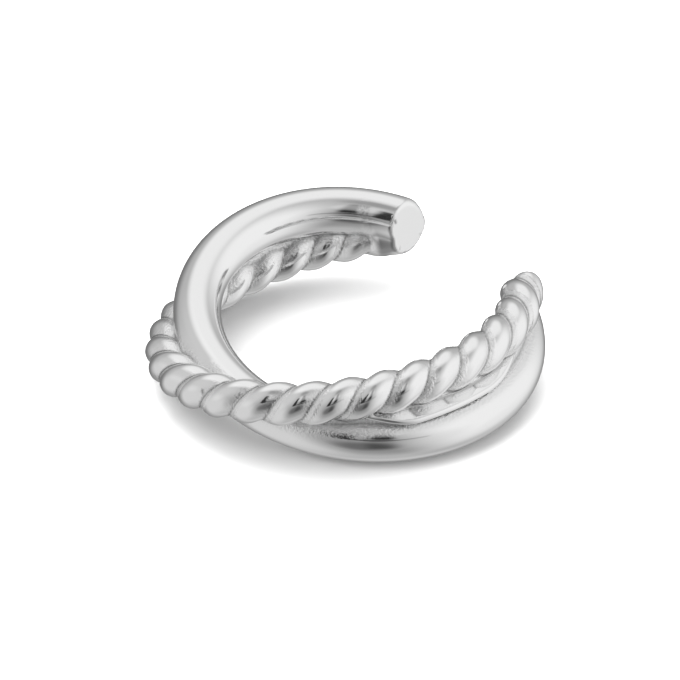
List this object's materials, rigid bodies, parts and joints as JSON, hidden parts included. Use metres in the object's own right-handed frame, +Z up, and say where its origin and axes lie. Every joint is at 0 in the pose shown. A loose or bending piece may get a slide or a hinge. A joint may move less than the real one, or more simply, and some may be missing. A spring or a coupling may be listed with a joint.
{
  "type": "ear cuff",
  "caption": "Open silver ear cuff: a smooth round bar and a twisted rope bar soldered side by side along an open ring that is pressed over the edge of the ear.",
  "frame": {"origin": "middle of the box round the cuff, at its base, with the cuff lying on its side", "axes": "+Z up along the ring's axis, -Y towards the front where the rope lies on top, the mouth between +X and +Y"},
  "size_m": [0.0124, 0.0122, 0.0033],
  "materials": {
    "silver": "polished silver, cast, with fine scratches and rough grooves between the strands"
  },
  "bodies": {
    "root": {"ear_cuff": "silver"}
  },
  "joints": []
}
